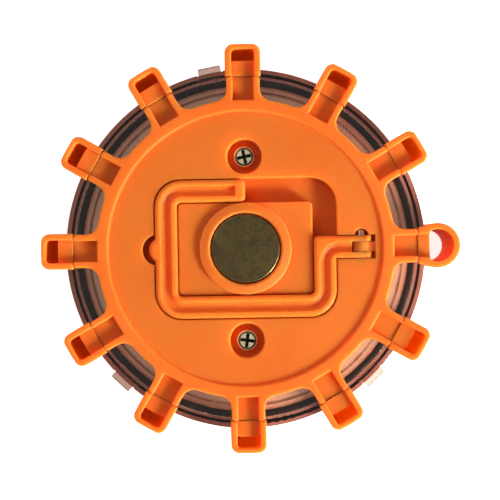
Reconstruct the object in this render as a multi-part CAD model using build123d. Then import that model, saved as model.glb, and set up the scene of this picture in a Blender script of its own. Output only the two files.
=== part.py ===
from build123d import *
import os
from math import cos, hypot, radians, sin

# LED safety flare, lying on its front face. Millimetres, +Z out of the back cover, origin on the
# flare's own axis in the plane of the front face. The hanging loop points along +X.

# Overall sizes
arm_count = 12
tip_r = 54.0            # flare axis to the outer face of a bumper
thickness = 33.0        # front rest plane to back rest plane

# Clearances
gap = 0.2               # between moulded parts that face each other
move_gap = 0.25         # around a part that moves in a recess
pin_play = 0.05         # radial running clearance on the hinge pin
slide_play = 0.1        # radial clearance of a part that slides in a bore
touch = 0.1             # between a spring-loaded or squeezed part and its seat
rim_gap = 0.3           # bumpers to the clear rim
join = 1.0              # how far a feature runs into the body that it grows from

# Front cover: hub, spokes and bumpers
front_t = 2.0
hub_r = 27.0
hub_root = 2.0
spoke_w = 7.0
bumper_w = 9.4
bumper_depth = 6.1      # radial depth of a bumper outside the rim
bumper_wall = 1.7
tip_wall = 1.3
pocket_depth = 3.1      # radial length of the open pocket in a bumper
pocket_corner = 1.0
bumper_corner = 2.3
snap_over = 2.0         # how far a bumper's snap reaches in over the rim
snap_t = 1.6
front_edge = 0.6        # rounding of the front cover's front edges
back_edge = 0.4         # rounding of the orange parts' back edges

# Hanging loop, one bumper made wider
loop_r = 5.9
loop_inset = 3.3        # outer circle of the flare to the middle of the eye
loop_wall = 1.6
loop_inner_wall = 0.75
loop_corner = 0.9
loop_pocket = 2.0       # open pocket at the loop's root, outside the rim

# Front windows and button
window_r = 3.4
window_at_r = 14.0
window_count = 3
window_lead = 0.5       # a window widens by this much to the front
button_r = 6.4
button_sunk = 0.5       # the button's face lies this far inside the rest plane
button_travel = 0.6
flange_r = 7.5
flange_t = 0.8
flange_back = 0.15      # hub to the flange behind it
flange_room = 0.5       # radial room round the flange
boss_wall = 1.4
boss_roof_t = 1.6
stem_room = 0.3         # radial room round the stem
stem_seal_r = 2.7
stem_seal_t = 0.9
stem_r = 1.5
button_round = 0.5

# Clear housing
lens_t = 2.0
rim_wall = 2.4
back_lens_t = 1.8
lens_edge = 1.0
skirt_w = 1.2
skirt_drop = 5.5
step_w = 1.8
seal_d = 1.9
seal_lip_t = 0.8
lug_w = 6.0
lug_out = 1.5
lug_depth = 1.8
lug_play = 0.6          # to each side of a lug in its notch
lug_edge = 0.4
lug_angles = (100.6, 226.0, 314.0)

# Back cover
disc_step = 0.9         # the disc lies this far below the flange ring
step_slope = 0.35       # the step leans outwards by this much
ring_w = 3.4
window_w = 8.1          # radial width of a window, ring to rim
flange_h = 3.5          # height of ring and arms
arm_w = 8.8
arm_root = 3.4
arm_corner = 0.7
arm_rail = 1.65
arm_pocket_depth = 2.2
arm_pocket_in = 0.3     # how far the pocket reaches in over the ring
seam = 0.2              # back-cover arm to bumper
cover_t = 1.8
cover_floor_t = 1.3
trough_wall = 1.6
trough_corner = 2.0
locator_w = 1.8
locator_out = 1.2

# Hook and its channel
channel_depth = 4.6
channel_edge = 0.3      # rounding of the channel's and the platform's upper edges
bar_w = 5.9
hook_half_x = 20.95     # centreline of the bar
hook_corner = 4.15      # centreline radius
hook_tip_x = 0.1
hook_proud = 0.6        # the hook's top stands this far above the disc
hook_under = 0.5
platform_sunk = 0.7     # the platform inside the hook lies this far below the disc
groove_r = 1.5
groove_depth = 1.2
groove_end = 2.6
bar_edge = 1.0
bar_under_edge = 0.4
bar_tip_corner = 1.2
bar_elbow_corner = 1.1
hinge_inset = 5.5       # edge of the disc to the hinge axis
ear_r = 2.7
ear_t = 1.5
slot_reach = 2.5        # hinge axis to the end of the fork's slot
knuckle_r = 2.2
knuckle_play = 0.13
hinge_end_gap = 1.0
recess_wall = 0.6       # end of the hinge recess to the locating ring
knuckle_sunk = 1.2      # the knuckle's web lies this far below the hook's top
pin_r = 1.0
pin_sink = 2.3          # hinge axis below the hook's top
pin_end = 1.3           # the pin stands out of each ear this far
dimple_r = 1.85
tab_r = 3.3
tab_in = 1.25           # the thumb tab's centre outside the bar's centreline
tab_notch_r = 4.1
tab_notch_in = 1.0

# Magnet
magnet_r = 9.1
magnet_t = 3.0
magnet_sunk = 0.3
magnet_edge = 0.5
keeper_t = 1.0
cup_play = 0.3
collar_mouth = 0.4      # bevel round the mouth of the cup
collar_top_w = 0.35
collar_w = 1.95         # width of the collar's sloping face
collar_slope = 0.5
collar_ledge = 0.05     # collar to the edge of the hook's channel

# Case screws
screw_r = 1.45
screw_head_r = 2.75
screw_head_h = 2.2
screw_head_round = 1.1
screw_length = 16.0
screw_hole_r = 1.7
mouth_r = 4.65
seat_r = 4.4
seat_depth = 3.9
mouth_edge = 0.2
screw_web = 1.1
post_r = 3.4
post_floor = 7.0        # length left solid at the foot of a post
cross_w = 0.8
cross_l = 3.3
cross_depth = 1.2
washer_r = 3.2
washer_t = 1.0

# Board and what it carries
board_inset = 4.4
board_t = 1.6
led_r = 1.5
led_l = 4.4
led_rim = 0.2
led_rim_t = 0.8
lead_t = 0.5
lead_reach = 1.5
lead_pitch = 1.27
front_led_r = 2.5
front_led_h = 5.1
switch_side = 6.0
switch_h = 3.4
plunger_out = 0.7
plunger_r = 1.5
switch_roof = 0.8
reflector_front = 0.8   # reflector to lens
reflector_back = 0.8    # reflector to board
cup_front_r = 4.2
peg_r = 1.0
peg_foot_r = 2.0
chip_size = (4.9, 3.9, 1.5)
chip_at = (13.0, -23.6)
capacitor_r = 2.5
capacitor_h = 5.5
capacitor_edge = 0.4
capacitor_at = (-13.0, -23.6)
resistor_size = (2.0, 1.25, 0.5)
resistor_at_r = 33.5

# Cells and tray
cell_r = 5.25
cell_l = 44.5
cell_nub_r = 2.75
cell_nub_l = 1.2
cell_edge = 0.5
cell_gap = 0.7          # between neighbouring cells
cell_play = 0.4         # outer cells to the tray's side walls
cell_roof = 0.6         # cell to back housing
rib_w = 2.0
rib_x = 12.0
rib_play = 0.15         # ribs to the cells under them
tray_floor = 1.2
tray_wall = 1.4
divider_w = 2.0
divider_h = 2.0
tray_rise = 4.0         # the tray's walls stand this far above the cells' axes
tray_window = 6.0       # end walls to the low stretch of the side walls
plate_t = 0.4
plate_side = 8.5
spring_l = 3.7
spring_wide_r = 3.2
spring_narrow_r = 2.0
tab_w = 3.0
ear_out = 2.5           # tray to the board screws
ear_in = 2.85           # board screws inside the tray's side walls
tray_ear_r = 3.2
tray_ear_t = 1.5
board_screw_r = 1.05
board_screw_head_r = 2.1
board_screw_head_h = 1.3
board_screw_round = 0.5
board_screw_l = 7.5
standoff_r = 2.6
standoff_floor = 1.0

# Radii that follow from the sizes above
rim_r = tip_r - bumper_depth - rim_gap
rim_in_r = rim_r - rim_wall
ring_r = rim_r - window_w
disc_r = ring_r - ring_w
seam_r = rim_r - snap_over
bumper_in_r = rim_r + rim_gap
pocket_out_r = tip_r - tip_wall
pocket_in_r = pocket_out_r - pocket_depth
flange_out_r = rim_in_r - gap
skirt_r = rim_in_r - seal_d - 2 * touch
locator_r = disc_r + locator_out
collar_mouth_r = magnet_r + cup_play + collar_mouth
collar_top_r = collar_mouth_r + collar_top_w
collar_r = collar_top_r + collar_w
hook_half_y = collar_r + collar_ledge + move_gap + bar_w / 2
board_r = rim_in_r - board_inset
loop_at_r = tip_r - loop_inset

# Heights that follow
disc_z = thickness - disc_step
channel_z = disc_z - channel_depth
cover_z = channel_z - cover_floor_t
flange_z = thickness - flange_h
rim_z = flange_z - gap
back_plate_top = cover_z - gap
back_plate_z = back_plate_top - back_lens_t
lens_z = front_t + gap
lens_in_z = lens_z + lens_t
snap_z = rim_z + move_gap
shelf_z = snap_z + snap_t
cell_z = back_plate_z - cell_roof - cell_r
tray_top_z = cell_z - cell_r - touch
tray_z = tray_top_z - tray_floor
board_top = tray_z
board_z = board_top - board_t
hook_top = disc_z + hook_proud
platform_z = disc_z - platform_sunk
hook_z = channel_z + hook_under
pin_z = hook_top - pin_sink
pin_x = disc_r - hinge_inset
recess_x = pin_x + ear_r + hinge_end_gap
channel_x = hook_half_x + bar_w / 2 + move_gap
channel_y = hook_half_y + bar_w / 2 + move_gap
platform_x = hook_half_x - bar_w / 2 - move_gap
platform_y = hook_half_y - bar_w / 2 - move_gap
corner_out = hook_corner + bar_w / 2
corner_in = hook_corner - bar_w / 2
cell_pitch = 2 * cell_r + cell_gap
tray_in_x = (cell_l + spring_l + 2 * plate_t) / 2
tray_in_y = cell_pitch + cell_r + cell_play
screw_y = max(channel_y + screw_web + mouth_r, tray_in_y + tray_wall + move_gap + post_r)
screw_seat = disc_z - seat_depth
magnet_top = thickness - magnet_sunk
magnet_z = magnet_top - magnet_t
flange_bottom = front_t + flange_back
flange_top = flange_bottom + flange_t
recess_roof = flange_top + button_travel + move_gap
boss_top = recess_roof + boss_roof_t
boss_r = flange_r + flange_room + boss_wall
switch_z = board_z - switch_h
reflector_r = screw_y - post_r - move_gap
peg_at_r = reflector_r - peg_foot_r - gap
plunger_z = switch_z - plunger_out

screw_places = [(0, screw_y), (0, -screw_y)]
ear_x = tray_in_x + tray_wall + ear_out
ear_y = tray_in_y - ear_in
ear_places = [(sx * ear_x, sy * ear_y) for sx in (-1, 1) for sy in (-1, 1)]
window_angles = [90 + 360 / window_count * i for i in range(window_count)]
arm_angles = [360 / arm_count * i for i in range(arm_count)]
between_arms = [360 / arm_count * (i + 0.5) for i in range(arm_count)]


def disc(radius, low, high, x=0.0, y=0.0):
    """Round plug between two heights."""
    return Pos(x, y, low) * Cylinder(radius, high - low, align=(Align.CENTER, Align.CENTER, Align.MIN))


def cone(low_r, high_r, low, high, x=0.0, y=0.0):
    """Tapered round plug between two heights."""
    return Pos(x, y, low) * Cone(low_r, high_r, high - low, align=(Align.CENTER, Align.CENTER, Align.MIN))


def ring(outer, inner, low, high, x=0.0, y=0.0):
    """Tube between two heights."""
    return disc(outer, low, high, x, y) - disc(inner, low, high, x, y)


def block(x0, x1, y0, y1, low, high):
    """Square-cornered block between its two corners."""
    return Pos(x0, y0, low) * Box(x1 - x0, y1 - y0, high - low, align=(Align.MIN, Align.MIN, Align.MIN))


def prism(sketch, low, high):
    """Flat outline drawn up between two heights."""
    return extrude(Pos(0, 0, low) * sketch, high - low)


def rod_y(radius, y0, y1, x, z):
    """Round rod along Y."""
    rod = Cylinder(radius, y1 - y0, align=(Align.CENTER, Align.CENTER, Align.MIN))
    return Pos(x, y0, z) * Rot(-90, 0, 0) * rod


def rod_x(radius, x0, x1, y, z):
    """Round rod along X."""
    rod = Cylinder(radius, x1 - x0, align=(Align.CENTER, Align.CENTER, Align.MIN))
    return Pos(x0, y, z) * Rot(0, 90, 0) * rod


def turned(shape, angles):
    """Copies of a shape round the flare's axis."""
    return [Rot(0, 0, angle) * shape for angle in angles]


def polar(radius, angle):
    """Point at a radius and an angle."""
    return radius * cos(radians(angle)), radius * sin(radians(angle))


def oblong(x0, x1, half_y):
    """Flat rectangle from x0 to x1, centred on the X axis."""
    return Pos((x0 + x1) / 2, 0) * Rectangle(x1 - x0, 2 * half_y)


def edges_at(shape, height):
    """Edges that lie flat at one height."""
    return [e for e in shape.edges() if abs(e.bounding_box().min.Z - height) < 1e-4
            and abs(e.bounding_box().max.Z - height) < 1e-4]


def uprights_at(shape, radius):
    """Upright edges that stand at one distance from the flare's axis."""
    return [e for e in shape.edges().filter_by(Axis.Z)
            if abs(hypot(e.center().X, e.center().Y) - radius) < 1e-3]


def save(node, shape):
    """Writes one sub-part."""
    export_step(shape, f"parts/{node}.step")


def spoked_disc(root_r, length, width, fillet_r, low, high):
    """Disc with a spoke at every arm angle and rounded roots."""
    body = disc(root_r, low, high) + turned(block(0, length, -width / 2, width / 2, low, high), arm_angles)
    return fillet(uprights_at(body, root_r), fillet_r)


def bumper_outline(start_r):
    """Plan of one bumper at angle 0, its tip bowed to the flare's outer circle."""
    plan = oblong(start_r, tip_r, bumper_w / 2)
    outer = [v for v in plan.vertices() if v.X > tip_r - join]
    return fillet(outer, bumper_corner) & Circle(tip_r)


def pocket_plan(start_r):
    """Plan of a bumper's pocket at angle 0, its outer wall bowed like the tip."""
    plan = oblong(start_r, tip_r, bumper_w / 2 - bumper_wall) & Circle(pocket_out_r)
    outer = [v for v in plan.vertices() if v.X > pocket_out_r - join]
    return fillet(outer, pocket_corner)


def loop_outline(start_r):
    """Plan of the hanging loop at angle 0: a round eye that runs into the width of a bumper."""
    root = oblong(start_r, start_r + join / 2, bumper_w / 2)
    plan = make_hull(root.edges() + (Pos(loop_at_r, 0) * Circle(loop_r)).edges())
    return plan & oblong(start_r, loop_at_r + 2 * loop_r, 2 * loop_r)


def loop_hole():
    """D-shaped opening of the loop."""
    flat = bumper_in_r + loop_inner_wall
    eye = (Pos(loop_at_r, 0) * Circle(loop_r - loop_wall)) & oblong(flat, tip_r + loop_r, loop_r)
    return fillet([v for v in eye.vertices() if v.X < flat + 0.01], loop_corner)


def make_front_cover():
    """Hub, spokes and bumpers in one moulding; every bumper wraps the rim and snaps over its edge."""
    others = arm_angles[1:]
    body = spoked_disc(hub_r, bumper_in_r + join, spoke_w, hub_root, 0, front_t)
    body += turned(prism(bumper_outline(bumper_in_r), 0, front_t), others)
    body += prism(loop_outline(bumper_in_r), 0, front_t)
    body = fillet(edges_at(body, 0), front_edge)

    bumper = prism(bumper_outline(bumper_in_r), front_t / 2, shelf_z)
    head = prism(bumper_outline(seam_r), snap_z, thickness)
    head -= prism(pocket_plan(seam_r), shelf_z, thickness)
    bumper += fillet(edges_at(head, thickness), back_edge)
    bumper -= prism(pocket_plan(pocket_in_r), front_t, shelf_z)

    loop = prism(loop_outline(bumper_in_r), front_t / 2, shelf_z)
    head = prism(loop_outline(seam_r), snap_z, thickness)
    inside = bumper_w / 2 - bumper_wall
    head -= block(seam_r, bumper_in_r + loop_pocket, -inside, inside, shelf_z, thickness)
    loop += fillet(edges_at(head, thickness), back_edge)

    body += turned(bumper, others) + [loop]
    body -= prism(loop_hole(), 0, thickness)
    body -= disc(button_r + move_gap, 0, front_t)
    for angle in window_angles:
        x, y = polar(window_at_r, angle)
        body -= cone(window_r + window_lead, window_r, 0, front_t / 2, x, y)
        body -= disc(window_r, front_t / 2, front_t, x, y)
    return body


def channel_plan(half_x, half_y, corner):
    """Rounded rectangle about the flare's axis."""
    return RectangleRounded(2 * half_x, 2 * half_y, corner)


def make_back_cover():
    """Flange ring with twelve arms, recessed disc, hook channel, magnet cup and screw towers."""
    arm_end = seam_r - seam
    body = spoked_disc(ring_r, arm_end, arm_w, arm_root, flange_z, thickness)
    body = fillet(uprights_at(body, hypot(arm_end, arm_w / 2)), arm_corner)
    arm_pocket = block(ring_r - arm_pocket_in, seam_r, -arm_w / 2 + arm_rail, arm_w / 2 - arm_rail,
                       thickness - arm_pocket_depth, thickness)
    body -= turned(arm_pocket, arm_angles)
    body -= cone(disc_r, disc_r + step_slope, disc_z, thickness)
    body = fillet(edges_at(body, thickness), back_edge)
    body -= disc(locator_r - locator_w, flange_z, disc_z - cover_t)
    body += ring(locator_r, locator_r - locator_w, cover_z, flange_z + join)

    # Trough under the channel, hinge recess and screw towers, then the hollows from above
    half = bar_w / 2 + move_gap
    roof = disc_z - cover_t / 2
    trough = channel_plan(channel_x + trough_wall, channel_y + trough_wall, corner_out)
    hollow = channel_plan(platform_x - trough_wall, platform_y - trough_wall, trough_corner)
    body += prism(trough - hollow, cover_z, roof)
    hinge_wall = half + pin_end + 2 * trough_wall
    body += block(channel_x, recess_x + recess_wall, -hinge_wall, hinge_wall, cover_z, roof)
    body += disc(collar_r, cover_z, disc_z)
    for x, y in screw_places:
        body += disc(mouth_r + trough_wall, cover_z, roof, x, y)
    notch_x = -hook_half_x - tab_in - tab_notch_in
    body += disc(tab_notch_r + trough_wall, cover_z, roof, notch_x, 0)
    body += prism(hollow, platform_z - cover_t, roof)

    platform = channel_plan(platform_x, platform_y, corner_in)
    body -= prism(channel_plan(channel_x, channel_y, corner_out) - platform, channel_z, disc_z)
    body -= prism(platform, platform_z, disc_z)
    outlines = [e for e in edges_at(body, disc_z) if hypot(e.center().X, e.center().Y) < disc_r - join
                and e.bounding_box().size.length < 2 * disc_r]
    body = fillet(outlines + edges_at(body, platform_z), channel_edge)
    body -= block(channel_x - join, recess_x, -half, half, pin_z - ear_r - move_gap, disc_z)
    body -= disc(tab_notch_r, channel_z, disc_z, notch_x, 0)

    # Fixed knuckle, its pin bore, the blind bore and the open dimple at the pin's ends
    side = bar_w / 2 - ear_t - knuckle_play
    knuckle = rod_y(knuckle_r, -side, side, pin_x, pin_z)
    knuckle &= block(0, tip_r, -side, side, cover_z, hook_top)
    web_x = recess_x + join / 2
    knuckle += block(pin_x - knuckle_r, web_x, -side, side, cover_z, pin_z)
    knuckle += block(pin_x, web_x, -side, side, cover_z, hook_top - knuckle_sunk)
    body += knuckle
    body -= rod_y(pin_r + pin_play / 2, -half - pin_end - touch, half + pin_end + touch, pin_x, pin_z)
    body -= disc(dimple_r, pin_z - pin_r - move_gap, disc_z, pin_x, half - move_gap)

    # Magnet cup with its raised, sloping collar
    body += disc(collar_r, platform_z - channel_edge, thickness - collar_slope)
    body += cone(collar_r, collar_top_r, thickness - collar_slope, thickness)
    body -= disc(magnet_r + cup_play, magnet_z - keeper_t, thickness)
    body -= cone(magnet_r + cup_play, collar_mouth_r, thickness - collar_mouth, thickness)

    for x, y in screw_places:
        body -= cone(seat_r, mouth_r, screw_seat, disc_z, x, y)
        body -= disc(screw_hole_r, cover_z, screw_seat, x, y)
    mouths = [e for e in edges_at(body, disc_z) if e.geom_type == GeomType.CIRCLE
              and abs(e.radius - mouth_r) < 1e-3]
    return fillet(mouths, mouth_edge)


def hook_bar(half_width, tip_x):
    """Plan of the hook's bar, or of its groove: round the platform from the tip to the hinge arm."""
    outer = channel_plan(hook_half_x + half_width, hook_half_y + half_width, hook_corner + half_width)
    inner = channel_plan(hook_half_x - half_width, hook_half_y - half_width, hook_corner - half_width)
    away = Pos(tip_x + tip_r / 2, half_width + tip_r / 2) * Rectangle(tip_r, tip_r)
    arm = oblong(hook_half_x - half_width, pin_x + ear_r, half_width)
    return outer - inner - away + arm


def make_hook():
    """Hook bar with rounded edges, a groove along its back, a fork for the knuckle and a thumb tab."""
    plan = hook_bar(bar_w / 2, hook_tip_x) + Pos(-hook_half_x - tab_in, 0) * Circle(tab_r)
    tips = [v for v in plan.vertices() if abs(v.X - hook_tip_x) < 1e-3 and v.Y > 0]
    plan = fillet(tips, bar_tip_corner)
    elbow = [v for v in plan.vertices() if abs(v.X - hook_half_x + bar_w / 2) < 1e-3
             and abs(v.Y - bar_w / 2) < 1e-3]
    plan = fillet(elbow, bar_elbow_corner)
    body = prism(plan, hook_z, hook_top)
    body = fillet(edges_at(body, hook_top), bar_edge)
    body = fillet(edges_at(body, hook_z), bar_under_edge)

    # Round-bottomed groove along the centreline
    start = (hook_tip_x - groove_end, hook_half_y)
    left, right = -hook_half_x, hook_half_x
    route = FilletPolyline(start, (left, hook_half_y), (left, -hook_half_y), (right, -hook_half_y),
                           (right, 0), (pin_x, 0), radius=hook_corner)
    rise = hook_top - groove_depth + groove_r
    mouth = Plane(origin=(start[0], start[1], rise), z_dir=(-1, 0, 0)) * Circle(groove_r)
    body -= sweep(mouth, path=Pos(0, 0, rise) * route)

    # Ears round the pin
    half = bar_w / 2
    slot_y = half - ear_t
    body -= block(pin_x - slot_reach, recess_x, -slot_y, slot_y, hook_z, hook_top)
    keep = block(-tip_r, pin_x, -tip_r, tip_r, hook_z, hook_top) + rod_y(ear_r, -half, half, pin_x, pin_z)
    body &= keep
    return body - rod_y(pin_r + pin_play, -half, half, pin_x, pin_z)


def make_hinge_pin():
    """Plain steel pin through the ears and the knuckle."""
    reach = bar_w / 2 + move_gap + pin_end
    return rod_y(pin_r, -reach, reach, pin_x, pin_z)


def make_magnet():
    """Disc magnet with bevelled edges."""
    return chamfer(edges_at(disc(magnet_r, magnet_z, magnet_top), magnet_top), magnet_edge)


def make_keeper():
    """Steel plate behind the magnet."""
    return disc(magnet_r, magnet_z - keeper_t, magnet_z)


def make_case_screws():
    """Two pan-head screws with cross recesses."""
    screws = []
    for x, y in screw_places:
        head = disc(screw_head_r, screw_seat, screw_seat + screw_head_h, x, y)
        head = fillet(edges_at(head, screw_seat + screw_head_h), screw_head_round)
        low = screw_seat + screw_head_h - cross_depth
        for a, b in ((cross_l, cross_w), (cross_w, cross_l)):
            head -= block(x - a / 2, x + a / 2, y - b / 2, y + b / 2, low, disc_z)
        screws.append(head + disc(screw_r, screw_seat - screw_length, screw_seat, x, y))
    return Compound(screws)


def make_screw_seals():
    """Rubber ring under each screw tower."""
    return Compound([ring(washer_r - touch, screw_hole_r, back_plate_top - washer_t, back_plate_top, x, y)
                     for x, y in screw_places])


def make_lens_front():
    """Clear front half: face, rim wall, screw posts, board standoffs and button boss."""
    body = disc(rim_r, lens_z, rim_z)
    body = fillet(edges_at(body, lens_z), lens_edge)
    body -= disc(rim_in_r, lens_in_z, rim_z)
    body += disc(boss_r, lens_z, boss_top)
    for x, y in screw_places:
        body += disc(post_r, lens_in_z, back_plate_z - gap, x, y)
        body -= disc(screw_r + pin_play, lens_in_z + post_floor, back_plate_z, x, y)
    for x, y in ear_places:
        body += disc(standoff_r, lens_in_z, board_z, x, y)
        body -= disc(board_screw_r + pin_play, lens_in_z + standoff_floor, board_z, x, y)
    body -= disc(flange_r + flange_room, lens_z, recess_roof)
    body -= disc(stem_r + stem_room, recess_roof, boss_top)
    body -= disc(stem_seal_r, boss_top - stem_seal_t, boss_top)
    half = lug_w / 2 + lug_play
    notch = block(rim_in_r - join, rim_r + join, -half, half, rim_z - lug_depth - gap, rim_z)
    return body - turned(notch, lug_angles)


def make_lens_back():
    """Clear back half: sunk plate, step, flange over the seal, skirt and keyed lugs."""
    low = rim_z - back_lens_t
    body = disc(locator_r + gap + step_w, back_plate_z, rim_z) - disc(locator_r + gap, back_plate_top, rim_z)
    body += ring(flange_out_r, locator_r + gap, low, rim_z)
    body += ring(skirt_r, skirt_r - skirt_w, low - skirt_drop, low)
    lip_top = low - seal_d - touch
    body += ring(rim_in_r - 2 * gap, skirt_r - skirt_w, lip_top - seal_lip_t, lip_top)
    lug = block(rim_in_r - join, rim_r + lug_out, -lug_w / 2, lug_w / 2, rim_z - lug_depth, rim_z)
    lug = fillet(lug.edges().group_by(Axis.X)[-1], lug_edge)
    body += turned(lug, lug_angles)
    for x, y in screw_places:
        body -= disc(screw_hole_r, back_plate_z, back_plate_top, x, y)
        body -= disc(washer_r, back_plate_top - washer_t, back_plate_top, x, y)
    rib_y = cell_pitch + cell_r
    for x in (-rib_x, rib_x):
        body += block(x - rib_w / 2, x + rib_w / 2, -rib_y, rib_y, cell_z + cell_r + rib_play, back_plate_z)
    return body


def make_housing_seal():
    """O-ring between the skirt and the rim."""
    middle = rim_z - back_lens_t - touch / 2 - seal_d / 2
    return Pos(0, 0, middle) * Torus(skirt_r + touch + seal_d / 2, seal_d / 2)


def make_main_board():
    """Round circuit board with holes for the posts, the tray screws and the reflector's pegs."""
    body = disc(board_r, board_z, board_top)
    for x, y in screw_places:
        body -= disc(post_r + move_gap, board_z, board_top, x, y)
    for x, y in ear_places:
        body -= disc(board_screw_r + touch, board_z, board_top, x, y)
    for angle in window_angles:
        x, y = polar(peg_at_r, angle + 180 / window_count)
        body -= disc(peg_r + pin_play, board_z, board_top, x, y)
    return body


def make_side_led():
    """Domed LED lying on the board at angle 0, its dome towards the rim, with two bent leads."""
    x1 = board_r + gap
    x0 = x1 - led_l
    z = board_top + led_r + led_rim + touch
    body = rod_x(led_r, x0, x1 - led_r, 0, z) + Pos(x1 - led_r, 0, z) * Sphere(led_r)
    body += rod_x(led_r + led_rim, x0, x0 + led_rim_t, 0, z)
    for y in (-lead_pitch / 2, lead_pitch / 2):
        half = lead_t / 2
        body += block(x0 - lead_reach, x0, y - half, y + half, z - half, z + half)
        body += block(x0 - lead_reach, x0 - lead_reach + lead_t, y - half, y + half, board_top, z + half)
    return body


def make_front_led(angle):
    """Domed LED hanging from the board behind one window of the hub."""
    x, y = polar(window_at_r, angle)
    tip = board_z - front_led_h
    body = disc(front_led_r, tip + front_led_r, board_z, x, y)
    return body + Pos(x, y, tip + front_led_r) * Sphere(front_led_r)


def make_reflector():
    """White moulded disc with a cup round each front LED and three pegs staked into the board."""
    low, high = lens_in_z + reflector_front, board_z - reflector_back
    body = disc(reflector_r, low, high) - disc(boss_r + move_gap, low, high)
    for angle in window_angles:
        x, y = polar(window_at_r, angle)
        body -= cone(cup_front_r, front_led_r + move_gap, low, high, x, y)
        x, y = polar(peg_at_r, angle + 180 / window_count)
        body += disc(peg_r, high, board_top, x, y) + disc(peg_foot_r, high, board_z, x, y)
    return body


def make_switch_body():
    """Square body of the push switch with the well of its plunger."""
    half = switch_side / 2
    well = disc(plunger_r + slide_play, switch_z, board_z - switch_roof)
    return block(-half, half, -half, half, switch_z, board_z) - well


def make_switch_plunger():
    """Round plunger of the switch."""
    return disc(plunger_r, plunger_z, board_z - switch_roof - button_travel - gap)


def make_power_button():
    """Button with a flange held behind the hub and a stem that reaches the switch."""
    cap = disc(button_r, button_sunk, flange_bottom)
    cap = fillet(edges_at(cap, button_sunk), button_round)
    return cap + disc(flange_r, flange_bottom, flange_top) + disc(stem_r, flange_top, plunger_z - touch)


def make_button_seal():
    """Lip ring round the stem, in the boss of the front housing."""
    return ring(stem_seal_r - touch / 2, stem_r + slide_play, boss_top - stem_seal_t, boss_top)


def make_battery_tray():
    """Tray for three cells side by side, with ears for the board screws."""
    out_x, out_y = tray_in_x + tray_wall, tray_in_y + tray_wall
    low_x, brim = tray_in_x - tray_window, cell_z + tray_rise
    body = block(-out_x, out_x, -out_y, out_y, tray_z, brim)
    body -= block(-tray_in_x, tray_in_x, -tray_in_y, tray_in_y, tray_top_z, brim)
    body -= block(-low_x, low_x, -out_y, out_y, cell_z, brim)
    for y in (-cell_pitch / 2, cell_pitch / 2):
        body += block(-low_x, low_x, y - divider_w / 2, y + divider_w / 2, tray_z, tray_top_z + divider_h)
    ear_top = tray_z + tray_ear_t
    for x, y in ear_places:
        inner = tray_in_x if x > 0 else -tray_in_x
        body += block(min(inner, x), max(inner, x), y - tray_ear_r, y + tray_ear_r, tray_z, ear_top)
        body += disc(tray_ear_r, tray_z, ear_top, x, y)
        body -= disc(board_screw_r + touch, tray_z, ear_top, x, y)
    for x, y in ((-tray_in_x, -cell_pitch), (tray_in_x, cell_pitch)):
        body -= block(x - plate_t - touch, x + plate_t + touch, y - tab_w / 2 - touch, y + tab_w / 2 + touch,
                      tray_z, tray_top_z)
    return body


def make_cell(y, way):
    """One cell along X with its positive end towards way (+1 or -1)."""
    nub = way * (tray_in_x - plate_t)
    shoulder = nub - way * cell_nub_l
    base = nub - way * cell_l
    can = rod_x(cell_r, min(base, shoulder), max(base, shoulder), y, cell_z)
    can = fillet(can.edges().filter_by(GeomType.CIRCLE), cell_edge)
    return can + rod_x(cell_nub_r, min(shoulder, nub), max(shoulder, nub), y, cell_z)


def make_contact(x, low_y, high_y, tabbed):
    """Contact plate against one end wall of the tray, spanning one or two cells."""
    inner = x - plate_t if x > 0 else x + plate_t
    half = plate_side / 2
    body = block(min(x, inner), max(x, inner), low_y - half, high_y + half, cell_z - half, cell_z + half)
    if tabbed:
        body += block(min(x, inner), max(x, inner), low_y - tab_w / 2, high_y + tab_w / 2, board_top, cell_z)
    return body


def make_contact_springs(cells):
    """Tapered contact springs on the negative ends of the cells."""
    springs = []
    for y, way in cells:
        base_x = -way * (tray_in_x - plate_t)
        spring = Cone(spring_wide_r, spring_narrow_r, spring_l, align=(Align.CENTER, Align.CENTER, Align.MIN))
        springs.append(Pos(base_x, y, cell_z) * Rot(0, way * 90, 0) * spring)
    return Compound(springs)


def make_board_screws():
    """Four pan-head screws through tray ears and board into the standoffs."""
    screws = []
    for x, y in ear_places:
        seat = tray_z + tray_ear_t
        head = disc(board_screw_head_r, seat, seat + board_screw_head_h, x, y)
        head = fillet(edges_at(head, seat + board_screw_head_h), board_screw_round)
        screws.append(head + disc(board_screw_r, seat - board_screw_l, seat, x, y))
    return Compound(screws)


def make_led_resistors():
    """One small resistor on the board's front side for each side LED."""
    length, width, height = resistor_size
    chip = block(resistor_at_r, resistor_at_r + length, -width / 2, width / 2, board_z - height, board_z)
    return Compound(turned(chip, between_arms))


def make_controller_chip():
    """Controller chip on the board's back side."""
    (x, y), (length, width, height) = chip_at, chip_size
    return block(x - length / 2, x + length / 2, y - width / 2, y + width / 2, board_top, board_top + height)


def make_capacitor():
    """Can capacitor on the board's back side."""
    body = disc(capacitor_r, board_top, board_top + capacitor_h, *capacitor_at)
    return fillet(edges_at(body, board_top + capacitor_h), capacitor_edge)


os.makedirs("parts", exist_ok=True)

save("front_cover", make_front_cover())
save("back_cover", make_back_cover())
save("hook", make_hook())
save("hinge_pin", make_hinge_pin())
save("magnet", make_magnet())
save("magnet_keeper", make_keeper())
save("case_screws", make_case_screws())
save("screw_seals", make_screw_seals())
save("lens_front", make_lens_front())
save("lens_back", make_lens_back())
save("housing_seal", make_housing_seal())
save("main_board", make_main_board())
save("reflector", make_reflector())
save("switch_body", make_switch_body())
save("switch_plunger", make_switch_plunger())
save("power_button", make_power_button())
save("button_seal", make_button_seal())
save("battery_tray", make_battery_tray())
save("board_screws", make_board_screws())
save("led_resistors", make_led_resistors())
save("controller_chip", make_controller_chip())
save("capacitor", make_capacitor())

side_led = make_side_led()
for number, led in enumerate(turned(side_led, between_arms), 1):
    save(f"side_led_{number:02d}", led)
for number, angle in enumerate(window_angles, 1):
    save(f"front_led_{number}", make_front_led(angle))

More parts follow.
